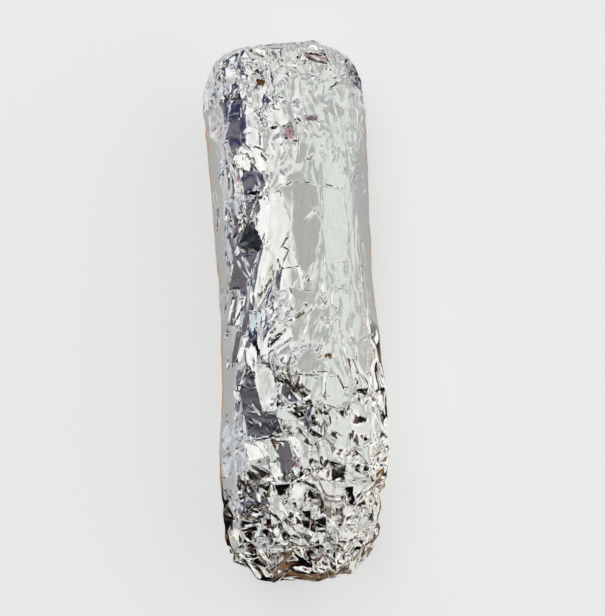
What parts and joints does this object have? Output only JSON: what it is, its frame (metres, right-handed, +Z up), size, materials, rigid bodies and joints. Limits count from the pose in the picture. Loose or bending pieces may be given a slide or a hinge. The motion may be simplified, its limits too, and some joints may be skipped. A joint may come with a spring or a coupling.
{
  "type": "foil-wrapped tortilla wrap",
  "caption": "Large tortilla wrap rolled in crumpled aluminium foil, lying on its flattened underside, with a small tear that shows the tortilla.",
  "frame": {"origin": "centre of the footprint, on the surface that the wrap lies on", "axes": "+Y along the roll from its scrunched end to its folded end, +Z up"},
  "size_m": [0.0638, 0.2044, 0.052],
  "materials": {
    "aluminium_foil": "bright rolled foil, crumpled",
    "tortilla": "matt, toasted wheat tortilla"
  },
  "bodies": {
    "root": {"foil_wrap": "aluminium_foil", "tortilla_roll": "tortilla"}
  },
  "joints": []
}
